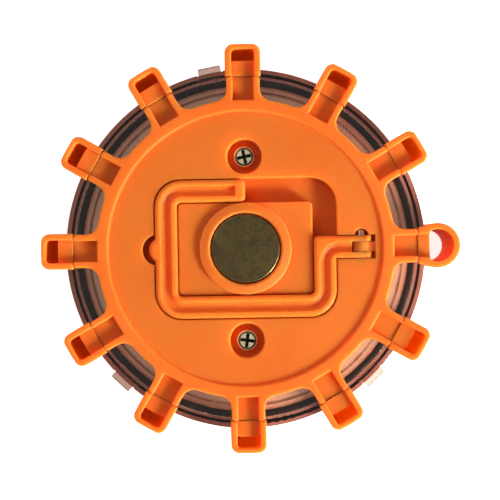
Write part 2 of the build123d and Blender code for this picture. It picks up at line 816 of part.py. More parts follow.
# The cells point alternate ways, so that the plates join them in series
cells = [(-cell_pitch, 1), (0.0, -1), (cell_pitch, 1)]
for number, (y, way) in enumerate(cells, 1):
    save(f"battery_{number}", make_cell(y, way))
save("contact_springs", make_contact_springs(cells))
save("contact_negative", make_contact(-tray_in_x, -cell_pitch, -cell_pitch, True))
save("contact_bridge_a", make_contact(tray_in_x, -cell_pitch, 0.0, False))
save("contact_bridge_b", make_contact(-tray_in_x, 0.0, cell_pitch, False))
save("contact_positive", make_contact(tray_in_x, cell_pitch, cell_pitch, True))
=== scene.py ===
from math import atan2, cos, hypot, pi, radians, sin, tau

import bmesh
import bpy
from mathutils import Matrix, Vector


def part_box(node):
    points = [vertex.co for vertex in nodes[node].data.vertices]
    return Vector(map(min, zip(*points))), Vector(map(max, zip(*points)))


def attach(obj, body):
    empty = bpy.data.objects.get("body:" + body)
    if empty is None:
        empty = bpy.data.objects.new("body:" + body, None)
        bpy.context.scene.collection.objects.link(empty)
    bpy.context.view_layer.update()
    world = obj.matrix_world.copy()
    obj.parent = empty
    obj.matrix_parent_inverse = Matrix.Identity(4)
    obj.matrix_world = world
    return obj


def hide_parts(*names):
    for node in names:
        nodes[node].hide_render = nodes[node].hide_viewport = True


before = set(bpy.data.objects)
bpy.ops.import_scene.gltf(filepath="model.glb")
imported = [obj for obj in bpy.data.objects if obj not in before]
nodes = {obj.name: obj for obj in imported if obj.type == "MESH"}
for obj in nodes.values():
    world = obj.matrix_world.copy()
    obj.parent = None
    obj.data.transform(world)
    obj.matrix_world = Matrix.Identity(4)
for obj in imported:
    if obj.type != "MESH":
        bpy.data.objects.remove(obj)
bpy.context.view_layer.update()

# ---------------------------------------------------------------------------------------------
# Front and back covers: two injection mouldings in safety-orange ABS. The mould was spark eroded
# to a fine matt grain. The covers snap and screw together over the clear housing.
# ---------------------------------------------------------------------------------------------
MM = 0.001
ORANGE = "#FF7624"
ORANGE_FLOW = "#FA6B17"
ORANGE_WORN = "#FFAC5C"
GLOW_DEPTH = 8 * MM         # how far red light travels in the plastic


def linear(hex_colour):
    """Linear colour of an sRGB hex value."""
    parts = [int(hex_colour[i:i + 2], 16) / 255 for i in (1, 3, 5)]
    return [c / 12.92 if c <= 0.04045 else ((c + 0.055) / 1.055) ** 2.4 for c in parts] + [1.0]


def per(size_mm):
    """Texture scale, per metre, of a pattern whose features are this many millimetres."""
    return 1 / (size_mm * MM)


def add(tree, kind, sockets=None, **settings):
    """Adds a node. A socket that is given another node's output is linked, any other is set."""
    made = tree.nodes.new("ShaderNode" + kind)
    for name, value in settings.items():
        setattr(made, name, value)
    for key, value in (sockets or {}).items():
        if isinstance(value, bpy.types.NodeSocket):
            tree.links.new(value, made.inputs[key])
        else:
            made.inputs[key].default_value = value
    return made


def start(name):
    """New material: gives it with its tree, its shader and each point's place in metres."""
    made = bpy.data.materials.new(name)
    made.use_nodes = True
    tree = made.node_tree
    tree.nodes.clear()
    shader = add(tree, "BsdfPrincipled")
    add(tree, "OutputMaterial", {"Surface": shader.outputs[0]})
    return made, tree, shader, add(tree, "TexCoord").outputs["Object"]


def feed(tree, shader, **sockets):
    """Sets or links the shader's own sockets; an underscore stands for a space."""
    for name, value in sockets.items():
        socket = shader.inputs[name.replace("_", " ")]
        if isinstance(value, bpy.types.NodeSocket):
            tree.links.new(value, socket)
        else:
            socket.default_value = value


def paint(node, material):
    """Gives a CAD node one material."""
    slots = nodes[node].data.materials
    slots.clear()
    slots.append(material)


def grained_abs(name, base, flow, worn, grain_mm, rough, edge_mm, glow=0.0):
    """Moulded ABS: a fine matt grain, faint flow marks, edges rubbed lighter and smoother."""
    made, tree, shader, place = start(name)
    round_edge = add(tree, "Bevel", {"Radius": edge_mm * MM}, samples=6).outputs[0]
    flat = add(tree, "NewGeometry").outputs["True Normal"]
    turn = add(tree, "VectorMath", {0: round_edge, 1: flat}, operation="DOT_PRODUCT")
    edge = add(tree, "MapRange", {0: turn.outputs["Value"], 1: 0.97, 2: 0.80, 3: 0.0, 4: 1.0}).outputs[0]
    patchy = add(tree, "TexNoise", {"Vector": place, "Scale": per(5), "Detail": 4.0}).outputs[0]
    rub = add(tree, "Math", {0: edge, 1: patchy}, operation="MULTIPLY").outputs[0]

    marks = add(tree, "TexNoise", {"Vector": place, "Scale": per(24), "Detail": 3.0}).outputs[0]
    drift = add(tree, "MapRange", {0: marks, 1: 0.38, 2: 0.66, 3: 0.0, 4: 0.6}).outputs[0]
    body = add(tree, "Mix", {0: drift, 6: linear(base), 7: linear(flow)}, data_type="RGBA").outputs[2]
    body = add(tree, "Mix", {0: rub, 6: body, 7: linear(worn)}, data_type="RGBA").outputs[2]
    grain = add(tree, "TexNoise", {"Vector": place, "Scale": per(grain_mm), "Detail": 2.0}).outputs[0]
    speck = add(tree, "MapRange", {0: grain, 1: 0.3, 2: 0.7, 3: 0.955, 4: 1.04}).outputs[0]
    body = add(tree, "VectorMath", {0: body, 3: speck}, operation="SCALE").outputs[0]

    # Long hairline scuffs that only catch the light
    along = add(tree, "Mapping", {"Vector": place, "Rotation": (0, 0, 0.7), "Scale": (1, 28, 1)}).outputs[0]
    hair = add(tree, "TexNoise", {"Vector": along, "Scale": per(16), "Detail": 2.0}).outputs[0]
    scuff = add(tree, "MapRange", {0: hair, 1: 0.62, 2: 0.70, 3: 0.0, 4: 0.16}).outputs[0]
    rubbed = {0: patchy, 1: 0.3, 2: 0.7, 3: rough - 0.06, 4: rough + 0.08}
    sheen = add(tree, "MapRange", rubbed).outputs[0]
    sheen = add(tree, "Math", {0: sheen, 1: scuff}, operation="SUBTRACT").outputs[0]
    tall = add(tree, "Math", {0: grain, 1: scuff}, operation="SUBTRACT").outputs[0]
    bump = add(tree, "Bump", {"Strength": 0.22, "Distance": 0.05 * MM, "Height": tall,
                              "Normal": round_edge})
    feed(tree, shader, Base_Color=body, Roughness=sheen, Normal=bump.outputs[0], IOR=1.53,
         Specular_IOR_Level=0.2, Subsurface_Weight=glow, Subsurface_Radius=(1.0, 0.66, 0.40),
         Subsurface_Scale=GLOW_DEPTH)
    return made


# Soft and nearly matt, and it glows a little in its depth. The real grain is about 0.1 mm, and is
# drawn at 0.35 mm so that it shows.
orange_abs = grained_abs("grained orange ABS", ORANGE, ORANGE_FLOW, ORANGE_WORN,
                         grain_mm=0.35, rough=0.56, edge_mm=0.30, glow=0.85)
for cover in ("front_cover", "back_cover"):
    paint(cover, orange_abs)

# ---------------------------------------------------------------------------------------------
# Fold-out hook: one ABS moulding with a groove along its back. It came from a polished mould, so
# it shines more than the covers. It turns on the steel pin in the back cover's knuckle.
# ---------------------------------------------------------------------------------------------
hook_abs = grained_abs("satin orange ABS", "#FF7A26", "#F76A1C", "#FFAA5C",
                       grain_mm=0.6, rough=0.44, edge_mm=0.20, glow=0.85)
paint("hook", hook_abs)

# ---------------------------------------------------------------------------------------------
# Hinge pin: drawn steel rod, cut to length with a small bevel at each end. It is pressed through
# the hook's ears and the back cover's knuckle.
# ---------------------------------------------------------------------------------------------
PIN_BEVEL = 0.25 * MM


def plated(name, bright, dull, rough, spot_mm, stretch=(1.0, 1.0, 1.0), scratch=0.3):
    """Metal finish: fine tool or handling marks, with duller, rougher patches."""
    made, tree, shader, place = start(name)
    drawn = add(tree, "Mapping", {"Vector": place, "Scale": stretch}).outputs[0]
    lines = add(tree, "TexNoise", {"Vector": drawn, "Scale": per(spot_mm), "Detail": 4.0}).outputs[0]
    patch = add(tree, "TexNoise", {"Vector": place, "Scale": per(spot_mm * 6), "Detail": 3.0}).outputs[0]
    worn = add(tree, "MapRange", {0: patch, 1: 0.4, 2: 0.68, 3: 0.0, 4: 1.0}).outputs[0]
    body = add(tree, "Mix", {0: worn, 6: linear(bright), 7: linear(dull)}, data_type="RGBA").outputs[2]
    both = add(tree, "Math", {0: patch, 1: lines}, operation="ADD").outputs[0]
    sheen = add(tree, "MapRange", {0: both, 1: 0.7, 2: 1.3, 3: rough * 0.7, 4: rough * 1.4}).outputs[0]
    bump = add(tree, "Bump", {"Strength": scratch, "Distance": 0.02 * MM, "Height": lines})
    feed(tree, shader, Base_Color=body, Metallic=1.0, Roughness=sheen, Normal=bump.outputs[0])
    return made


def finish_mesh(bm, name, material, sharp_degrees=32):
    """Makes a piece of the mesh, smooth apart from its sharp edges, and rides it on the housing."""
    bmesh.ops.recalc_face_normals(bm, faces=bm.faces)
    for face in bm.faces:
        face.smooth = True
    for edge in bm.edges:
        edge.smooth = len(edge.link_faces) == 2 and edge.calc_face_angle(0) < radians(sharp_degrees)
    mesh = bpy.data.meshes.new(name)
    bm.to_mesh(mesh)
    bm.free()
    mesh.materials.append(material)
    piece = bpy.data.objects.new(name, mesh)
    bpy.context.scene.collection.objects.link(piece)
    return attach(piece, "housing")


ALONG_Y = Matrix.Rotation(-pi / 2, 4, "X")


def turn_profile(bm, profile, matrix, steps=40):
    """Turns (radius, height) points round the local Z axis; a radius of 0 closes an end."""
    rings = []
    for radius, height in profile:
        count = 1 if radius < 1e-7 else steps
        rings.append([bm.verts.new(matrix @ Vector((radius * cos(tau * i / steps),
                                                    radius * sin(tau * i / steps), height)))
                      for i in range(count)])
    for low, high in zip(rings, rings[1:]):
        for i in range(steps):
            j = i + 1
            corners = [low[i % len(low)], low[j % len(low)], high[j % len(high)], high[i % len(high)]]
            corners = list(dict.fromkeys(corners))
            if len(corners) > 2:
                bm.faces.new(corners)


def middle(low, high):
    """Point halfway between two corners."""
    return (low + high) / 2


low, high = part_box("hinge_pin")
pin_r, pin_half = (high.x - low.x) / 2, (high.y - low.y) / 2
pin_matrix = Matrix.Translation(middle(low, high)) @ ALONG_Y
bm = bmesh.new()
turn_profile(bm, [(0, -pin_half), (pin_r - PIN_BEVEL, -pin_half), (pin_r, PIN_BEVEL - pin_half),
                  (pin_r, pin_half - PIN_BEVEL), (pin_r - PIN_BEVEL, pin_half), (0, pin_half)],
             pin_matrix)
# Bright, with die lines along its length
drawn_steel = plated("drawn bright steel", "#D6D3CC", "#A9A39A", rough=0.22, spot_mm=0.25,
                     stretch=(1.0, 0.05, 1.0))
pin = finish_mesh(bm, "pin", drawn_steel)
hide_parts("hinge_pin")

# ---------------------------------------------------------------------------------------------
# Holding magnet: a sintered disc with a dark nickel plating, its edge tumbled round. It is glued
# on a mild-steel keeper in the back cover's cup, and handling has mottled its face.
# ---------------------------------------------------------------------------------------------
MAGNET_ROUND = 0.45 * MM


def arc(radius_at, height_at, radius, first, last, steps=6):
    """Round stretch of a profile, between two angles in degrees."""
    angles = [radians(first + (last - first) * i / steps) for i in range(steps + 1)]
    return [(radius_at + radius * cos(a), height_at + radius * sin(a)) for a in angles]


low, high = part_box("magnet")
magnet_r, magnet_h = (high.x - low.x) / 2, high.z - low.z
bm = bmesh.new()
turn_profile(bm, [(0, 0), (magnet_r, 0)]
             + arc(magnet_r - MAGNET_ROUND, magnet_h - MAGNET_ROUND, MAGNET_ROUND, 0, 90)
             + [(0, magnet_h)], Matrix.Translation((0, 0, low.z)), 96)
# A dark brownish mirror, dulled by handling
dark_nickel = plated("dark nickel plating", "#86744A", "#60533A", rough=0.36, spot_mm=0.5, scratch=0.5)
magnet = finish_mesh(bm, "magnet_disc", dark_nickel)
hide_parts("magnet")
mild_steel = plated("mild steel", "#9C968C", "#6F6A60", rough=0.4, spot_mm=0.8)
paint("magnet_keeper", mild_steel)

# ---------------------------------------------------------------------------------------------
# Case screws: two self-tapping pan-head screws in yellow-passivated steel, with cross recesses.
# They pass through the back cover and the back housing into the front housing's posts.
# ---------------------------------------------------------------------------------------------
CASE_HEAD_H = 2.2 * MM
CASE_SHANK_R = 1.45 * MM
THREAD_PITCH = 1.25 * MM
THREAD_DEPTH = 0.28 * MM


def cross_cutter(matrix, wing, width, depth):
    """Tapered cross that cuts a screw's recess, its mouth at the local origin."""
    bm = bmesh.new()
    rings = []
    for height, half, w in ((0.2 * MM, wing / 2, width / 2), (-depth, wing / 4.5, width / 3)):
        corner = [(half, -w), (half, w), (w, w)]
        outline = [Matrix.Rotation(tau * q / 4, 2) @ Vector(c) for q in range(4) for c in corner]
        rings.append([bm.verts.new(matrix @ Vector((x, y, height))) for x, y in outline])
    for i in range(12):
        bm.faces.new((rings[0][i], rings[0][(i + 1) % 12], rings[1][(i + 1) % 12], rings[1][i]))
    for ring in rings:
        bm.faces.new(ring)
    bmesh.ops.recalc_face_normals(bm, faces=bm.faces)
    mesh = bpy.data.meshes.new("cutter")
    bm.to_mesh(mesh)
    bm.free()
    cutter = bpy.data.objects.new("cutter", mesh)
    bpy.context.scene.collection.objects.link(cutter)
    return cutter


def cut(piece, cutter):
    """Takes the cutter out of the piece, for good."""
    piece.modifiers.new("cut", "BOOLEAN").object = cutter
    piece.modifiers["cut"].solver = "EXACT"
    shape = piece.evaluated_get(bpy.context.evaluated_depsgraph_get())
    piece.data = bpy.data.meshes.new_from_object(shape)
    piece.modifiers.clear()
    bpy.data.objects.remove(cutter)


def threaded(bm, matrix, core, crest, top, end, steps=20):
    """Shank with a helical thread, from its top down to its blunt, tapered end."""
    rise = THREAD_PITCH / 8
    count = int((top - end) / rise)
    rings = []
    for k in range(count + 1):
        z = end + (top - end) * k / count
        taper = min(1.0, 0.55 + 0.45 * (z - end) / (2 * THREAD_PITCH))
        fade = min(1.0, (top - z) / THREAD_PITCH)
        ring = []
        for i in range(steps):
            phase = (z / THREAD_PITCH - i / steps) % 1
            ridge = max(0.0, 1 - abs(phase - 0.5) / 0.3) * fade
            radius = (core + (crest - core) * ridge) * taper
            ring.append(bm.verts.new(matrix @ Vector((radius * cos(tau * i / steps),
                                                      radius * sin(tau * i / steps), z))))
        rings.append(ring)
    for a, b in zip(rings, rings[1:]):
        for i in range(steps):
            bm.faces.new((a[i], a[(i + 1) % steps], b[(i + 1) % steps], b[i]))
    bm.faces.new(rings[0][::-1])
    bm.faces.new(rings[-1])


def cross_screw(name, x, y, bottom, seat, top, head_r, shank_r, turn, material):
    """Pan-head screw standing upright: head with a cross recess, threaded shank below its seat."""
    matrix = Matrix.Translation((x, y, 0)) @ Matrix.Rotation(radians(turn), 4, "Z")
    head_h = top - seat
    bm = bmesh.new()
    turn_profile(bm, [(0, seat), (head_r * 0.96, seat), (head_r, seat + head_h * 0.12),
                      (head_r, seat + head_h * 0.7)]
                 + arc(head_r - head_h * 0.2, seat + head_h * 0.7, head_h * 0.2, 10, 75)
                 + [(head_r * 0.7, top - head_h * 0.05), (0, top)], matrix, 48)
    piece = finish_mesh(bm, name, material)
    at_top = Matrix.Translation((0, 0, top))
    cut(piece, cross_cutter(matrix @ at_top, head_r * 1.5, head_r * 0.34, head_h * 0.75))
    # The cross recess is painted dark as shade: its faces get a second, darker material
    piece.data.materials.append(painted_shade_recess)
    # The recess's faces lie inside the head, clear of its rim, seat and top
    for face in piece.data.polygons:
        centre = face.center - Vector((x, y, 0))
        if hypot(centre.x, centre.y) < head_r * 0.8 and seat + 0.1 * MM < centre.z < top - 0.12 * MM:
            face.material_index = 1
    bm = bmesh.new()
    bm.from_mesh(piece.data)
    threaded(bm, matrix, shank_r - THREAD_DEPTH, shank_r, seat, bottom)
    bm.to_mesh(piece.data)
    bm.free()
    return piece


# Pale straw-coloured metal, satin, and a recess whose faces take a dark metal colour as painted shade
yellow_zinc = plated("yellow-passivated zinc", "#FDF7D2", "#DCD09C", rough=0.46, spot_mm=0.3)
painted_shade_recess = plated("painted shade recess", "#6A634C", "#2A271C", rough=0.40, spot_mm=0.3)
low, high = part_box("case_screws")
head_r = (high.x - low.x) / 2
# Each cross stopped at its own angle, in degrees, when its screw was driven home
for name, y, turn in (("case_screw_upper", high.y - head_r, 12),
                      ("case_screw_lower", low.y + head_r, -8)):
    screw = cross_screw(name, 0, y, low.z, high.z - CASE_HEAD_H, high.z, head_r, CASE_SHANK_R,
                        turn, yellow_zinc)
    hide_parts("case_screws")

# ---------------------------------------------------------------------------------------------
# Clear housing: two halves injection moulded in clear polycarbonate from a polished mould. The
# back half keys into the front half's rim by three lugs, with a black nitrile O-ring between.
# ---------------------------------------------------------------------------------------------
RIB_COUNT = 300
RIB_OUT_R, RIB_IN_R = 41.8 * MM, 41.25 * MM
RIB_DEEP = 0.32 * MM
RIB_TALL = 4.6 * MM
RIB_DOWN = 1.9 * MM         # from the back half's top to the ribs


def clear_plastic(name, tint, rough, ior, wave_mm, smoke=None, edge_mm=0.05):
    """Clear moulded plastic: polished, faintly wavy, with a little haze from handling."""
    made, tree, shader, place = start(name)
    wave = add(tree, "TexNoise", {"Vector": place, "Scale": per(wave_mm), "Detail": 2.0}).outputs[0]
    fog = add(tree, "TexNoise", {"Vector": place, "Scale": per(3), "Detail": 5.0}).outputs[0]
    haze = add(tree, "MapRange", {0: fog, 1: 0.4, 2: 0.75, 3: rough, 4: rough + 0.05}).outputs[0]
    deep, pale = linear(tint[0]), linear(tint[1])
    body = add(tree, "Mix", {0: fog, 6: deep, 7: pale}, data_type="RGBA").outputs[2]
    round_edge = add(tree, "Bevel", {"Radius": edge_mm * MM}, samples=4).outputs[0]
    bump = add(tree, "Bump", {"Strength": 0.25, "Distance": 0.06 * MM, "Height": wave,
                              "Normal": round_edge})
    feed(tree, shader, Base_Color=body, Roughness=haze, IOR=ior, Transmission_Weight=1.0,
         Normal=bump.outputs[0])
    # Lamps shine through it, which a refracting shader alone would stop
    lamp = add(tree, "LightPath").outputs["Is Shadow Ray"]
    through = add(tree, "BsdfTransparent", {"Color": pale}).outputs[0]
    both = add(tree, "MixShader", {0: lamp, 1: shader.outputs[0], 2: through})
    output = tree.nodes["Material Output"]
    tree.links.new(both.outputs[0], output.inputs["Surface"])
    if smoke:
        depth = add(tree, "VolumeAbsorption", {"Color": linear(smoke[0]), "Density": smoke[1]})
        tree.links.new(depth.outputs[0], output.inputs["Volume"])
    return made


# Smoky and faintly red in its depth: a thin wall looks nearly clear, the tall rim reddish brown
polycarbonate = clear_plastic("clear polycarbonate", ("#E8D0BC", "#F2E0D2"), rough=0.01, ior=1.585,
                              wave_mm=9, smoke=("#C67446", 75.0), edge_mm=0.3)
paint("lens_front", polycarbonate)
paint("lens_back", polycarbonate)


def rubber(name, body_hex, dust_hex, rough, edge_mm):
    """Moulded rubber: dull and dark, with a little pale dust held in its grain."""
    made, tree, shader, place = start(name)
    round_edge = add(tree, "Bevel", {"Radius": edge_mm * MM}, samples=4).outputs[0]
    grain = add(tree, "TexNoise", {"Vector": place, "Scale": per(0.4), "Detail": 3.0}).outputs[0]
    cloud = add(tree, "TexNoise", {"Vector": place, "Scale": per(7), "Detail": 4.0}).outputs[0]
    dust = add(tree, "MapRange", {0: cloud, 1: 0.45, 2: 0.8, 3: 0.0, 4: 0.5}).outputs[0]
    dark, pale = linear(body_hex), linear(dust_hex)
    body = add(tree, "Mix", {0: dust, 6: dark, 7: pale}, data_type="RGBA").outputs[2]
    sheen = add(tree, "MapRange", {0: grain, 1: 0.3, 2: 0.7, 3: rough - 0.08, 4: rough + 0.1}).outputs[0]
    bump = add(tree, "Bump", {"Strength": 0.3, "Distance": 0.03 * MM, "Height": grain,
                              "Normal": round_edge})
    feed(tree, shader, Base_Color=body, Roughness=sheen, IOR=1.52, Specular_IOR_Level=0.25,
         Normal=bump.outputs[0])
    return made


nitrile = rubber("black nitrile rubber", "#0B0A07", "#1E1C16", rough=0.55, edge_mm=0.1)
for node in ("housing_seal", "screw_seals", "button_seal"):
    paint(node, nitrile)

# Moulded ribs inside the back half's skirt, which scatter the LEDs' light: small teeth of the same
# clear plastic. Real ones are about 0.5 mm apart, and are drawn 0.9 mm apart so that they show.
low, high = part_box("lens_back")
rib_top = high.z - RIB_DOWN
bm = bmesh.new()
outer, inner = [], []
for i in range(2 * RIB_COUNT):
    angle = tau * i / (2 * RIB_COUNT)
    tooth = RIB_IN_R + (RIB_DEEP if i % 2 else 0.0)
    for ring, radius in ((outer, RIB_OUT_R), (inner, tooth)):
        ring.append([bm.verts.new((radius * cos(angle), radius * sin(angle), z))
                     for z in (rib_top - RIB_TALL, rib_top)])
for i in range(2 * RIB_COUNT):
    j = (i + 1) % (2 * RIB_COUNT)
    bm.faces.new((outer[i][0], outer[j][0], outer[j][1], outer[i][1]))
    bm.faces.new((inner[j][0], inner[i][0], inner[i][1], inner[j][1]))
    for level in (0, 1):
        bm.faces.new((inner[i][level], inner[j][level], outer[j][level], outer[i][level]))
ribs = finish_mesh(bm, "skirt_ribs", polycarbonate, 60)

# ---------------------------------------------------------------------------------------------
# Circuit board: glass-fibre laminate with a white solder mask over its copper tracks, routed to
# a disc. The parts are soldered to it, and four small screws hold it under the battery tray.
# ---------------------------------------------------------------------------------------------
TRACK_PITCH = 2.6 * MM


def masked_board():
    """White solder mask: satin, with the copper tracks standing under it as faint ridges."""
    made, tree, shader, place = start("white solder mask")
    spot = add(tree, "SeparateXYZ", {"Vector": place})
    flat = add(tree, "CombineXYZ", {0: spot.outputs[0], 1: spot.outputs[1]}).outputs[0]
    out = add(tree, "VectorMath", {0: flat}, operation="LENGTH").outputs["Value"]
    laps = add(tree, "Math", {0: out, 1: tau / TRACK_PITCH}, operation="MULTIPLY").outputs[0]
    swing = add(tree, "Math", {0: laps}, operation="SINE").outputs[0]
    track = add(tree, "MapRange", {0: swing, 1: 0.15, 2: 0.45, 3: 0.0, 4: 1.0}).outputs[0]
    breaks = add(tree, "TexVoronoi", {"Vector": flat, "Scale": per(9)}).outputs["Distance"]
    gaps = add(tree, "MapRange", {0: breaks, 1: 0.30, 2: 0.34, 3: 0.0, 4: 1.0}).outputs[0]
    copper = add(tree, "Math", {0: track, 1: gaps}, operation="MULTIPLY").outputs[0]
    weave = add(tree, "TexNoise", {"Vector": place, "Scale": per(0.8), "Detail": 3.0}).outputs[0]
    mask, ridge, laminate = linear("#E6E4DC"), linear("#D3CDBE"), linear("#C9B679")
    tone = add(tree, "Mix", {0: copper, 6: mask, 7: ridge}, data_type="RGBA").outputs[2]
    flat_way = add(tree, "NewGeometry").outputs["True Normal"]
    up = add(tree, "SeparateXYZ", {"Vector": flat_way}).outputs[2]
    face = add(tree, "Math", {0: up}, operation="ABSOLUTE").outputs[0]
    body = add(tree, "Mix", {0: face, 6: laminate, 7: tone}, data_type="RGBA").outputs[2]
    sheen = add(tree, "MapRange", {0: weave, 1: 0.3, 2: 0.7, 3: 0.30, 4: 0.46}).outputs[0]
    height = add(tree, "Math", {0: copper, 1: weave}, operation="ADD").outputs[0]
    bump = add(tree, "Bump", {"Strength": 0.35, "Distance": 0.04 * MM, "Height": height})
    feed(tree, shader, Base_Color=body, Roughness=sheen, IOR=1.5, Normal=bump.outputs[0])
    return made


paint("main_board", masked_board())
board_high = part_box("main_board")[1]

# Chip resistors: black ceramic with a tinned cap at each end. They lie along the board's radii, so
# a cap starts at a set distance from the chip's middle.
resistor_reach = [hypot(v.co.x, v.co.y) for v in nodes["led_resistors"].data.vertices]
chip_in, chip_out = min(resistor_reach), max(resistor_reach)
CAP_W = 0.4 * MM
CAP_BLUR = 0.02 * MM        # the cap's edge fades over this


def capped_resistor():
    """Chip resistor: matt black body, bright tinned ends."""
    made, tree, shader, place = start("capped ceramic chip")
    spot = add(tree, "SeparateXYZ", {"Vector": place})
    flat = add(tree, "CombineXYZ", {0: spot.outputs[0], 1: spot.outputs[1]}).outputs[0]
    out = add(tree, "VectorMath", {0: flat}, operation="LENGTH").outputs["Value"]
    off = add(tree, "Math", {0: out, 1: (chip_in + chip_out) / 2}, operation="SUBTRACT").outputs[0]
    off = add(tree, "Math", {0: off}, operation="ABSOLUTE").outputs[0]
    cap_from = (chip_out - chip_in) / 2 - CAP_W
    cap = add(tree, "MapRange", {0: off, 1: cap_from - CAP_BLUR, 2: cap_from, 3: 0.0, 4: 1.0}).outputs[0]
    grain = add(tree, "TexNoise", {"Vector": place, "Scale": per(0.3), "Detail": 3.0}).outputs[0]
    ceramic, tin = linear("#1B1C1E"), linear("#CFCDC6")
    body = add(tree, "Mix", {0: cap, 6: ceramic, 7: tin}, data_type="RGBA").outputs[2]
    sheen = add(tree, "MapRange", {0: grain, 1: 0.3, 2: 0.7, 3: 0.3, 4: 0.5}).outputs[0]
    bump = add(tree, "Bump", {"Strength": 0.25, "Distance": 0.02 * MM, "Height": grain})
    feed(tree, shader, Base_Color=body, Roughness=sheen, Metallic=cap, Normal=bump.outputs[0])
    return made


paint("led_resistors", capped_resistor())

# Controller chip: black moulded epoxy on eight bent, tinned legs.
LEG_W, LEG_T, LEG_OUT = 0.42 * MM, 0.2 * MM, 0.9 * MM
LEG_PITCH = 1.27 * MM
black_epoxy = rubber("black moulded epoxy", "#17181A", "#2C2D2F", rough=0.5, edge_mm=0.08)
paint("controller_chip", black_epoxy)
tinned = plated("tinned copper", "#D4D3CD", "#ADABA2", rough=0.3, spot_mm=0.4)


def strip(bm, path, width, thickness, matrix):
    """Flat strip bent along a path of (x, z) points, centred on the local Y axis."""
    rings = []
    for k, (x, z) in enumerate(path):
        a, b = path[max(k - 1, 0)], path[min(k + 1, len(path) - 1)]
        run = Vector((b[0] - a[0], b[1] - a[1])).normalized()
        side = Vector((-run.y, run.x)) * thickness / 2
        rings.append([bm.verts.new(matrix @ Vector((x + s * side.x, y, z + s * side.y)))
                      for s, y in ((1, -width / 2), (1, width / 2), (-1, width / 2), (-1, -width / 2))])
    for a, b in zip(rings, rings[1:]):
        for i in range(4):
            bm.faces.new((a[i], a[(i + 1) % 4], b[(i + 1) % 4], b[i]))
    bm.faces.new(rings[0][::-1])
    bm.faces.new(rings[-1])


low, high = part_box("controller_chip")
bm = bmesh.new()
for side in (-1, 1):
    for k in range(4):
        at = Vector((middle(low, high).x + (k - 1.5) * LEG_PITCH, high.y if side > 0 else low.y, low.z))
        leg = Matrix.Translation(at) @ Matrix.Rotation(side * pi / 2, 4, "Z")
        rise = (high.z - low.z) / 2
        strip(bm, [(0, rise), (LEG_OUT * 0.3, rise), (LEG_OUT * 0.45, rise * 0.75),
                   (LEG_OUT * 0.5, LEG_T), (LEG_OUT * 0.65, LEG_T / 2), (LEG_OUT, LEG_T / 2)],
              LEG_W, LEG_T, leg)
legs = finish_mesh(bm, "chip_legs", tinned)

# Smoothing capacitor: a bare drawn aluminium can, rolled in near its foot.
low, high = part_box("capacitor")
can_r, can_h = (high.x - low.x) / 2, high.z - low.z
bm = bmesh.new()
turn_profile(bm, [(0, 0), (can_r * 0.95, 0), (can_r * 0.97, can_h * 0.06), (can_r * 0.86, can_h * 0.14),
                  (can_r * 0.97, can_h * 0.22)]
             + arc(can_r * 0.88, can_h - can_r * 0.12, can_r * 0.12, 0, 90)
             + [(can_r * 0.7, can_h - 0.02 * MM), (can_r * 0.66, can_h - 0.12 * MM), (0, can_h - 0.12 * MM)],
             Matrix.Translation((middle(low, high).x, middle(low, high).y, low.z)))
drawn_aluminium = plated("drawn aluminium", "#C9CACC", "#A2A3A6", rough=0.3, spot_mm=0.4)
can = finish_mesh(bm, "capacitor_can", drawn_aluminium)
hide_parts("capacitor")

# ---------------------------------------------------------------------------------------------
# Side LEDs: twelve 3 mm lamps in clear red epoxy, lying on the board with their domes to the
# rim. Each has a cast lens over a stamped frame, whose two legs are bent down and soldered.
# ---------------------------------------------------------------------------------------------
LED_RIM, LED_RIM_T, LED_RIM_BEVEL = 0.2 * MM, 0.8 * MM, 0.1 * MM
LED_LEGS = 1.5 * MM         # room that the bent legs take behind the lens
LEG_SIDE = 0.5 * MM
LEG_HALF_PITCH = 1.27 * MM / 2
LEG_BACK = 1.25 * MM        # from the lens's base to the standing part of a leg
ALONG_X = Matrix.Rotation(pi / 2, 4, "Y")
red_epoxy = clear_plastic("clear red epoxy", ("#E04038", "#F08A80"), rough=0.03, ior=1.53, wave_mm=2)


def led_lens(name, matrix, radius, length, rim, epoxy):
    """Cast lens with its axis along local Z, its base at 0 and its dome at the far end."""
    bm = bmesh.new()
    turn_profile(bm, [(0, 0), (radius + rim, 0), (radius + rim, LED_RIM_T - LED_RIM_BEVEL),
                      (radius + rim - LED_RIM_BEVEL, LED_RIM_T), (radius, LED_RIM_T)]
                 + arc(0, length - radius, radius, 0, 82, 10) + [(0, length)], matrix, 32)
    return finish_mesh(bm, name, epoxy, 50)


def led_frame(name, matrix, radius, legs):
    """Anvil with its reflector cup, and post, standing inside the lens; legs are (x, z) paths."""
    bm = bmesh.new()
    tall = radius * 1.15
    for side, wide in ((-1, 0.62), (1, 0.34)):
        shank = [(side * LEG_HALF_PITCH * 0.72, z) for z in (0, tall)]
        strip(bm, shank, LEG_SIDE * 0.9, radius * wide, matrix)
    turn_profile(bm, [(0, tall * 0.95), (radius * 0.3, tall), (radius * 0.42, tall * 1.25),
                      (radius * 0.3, tall * 1.25), (radius * 0.16, tall * 1.08), (0, tall * 1.08)],
                 matrix @ Matrix.Translation((-LEG_HALF_PITCH * 0.72, 0, 0)), 16)
    for path, turned in legs:
        strip(bm, path, LEG_SIDE, LEG_SIDE, turned)
    return finish_mesh(bm, name, tinned)


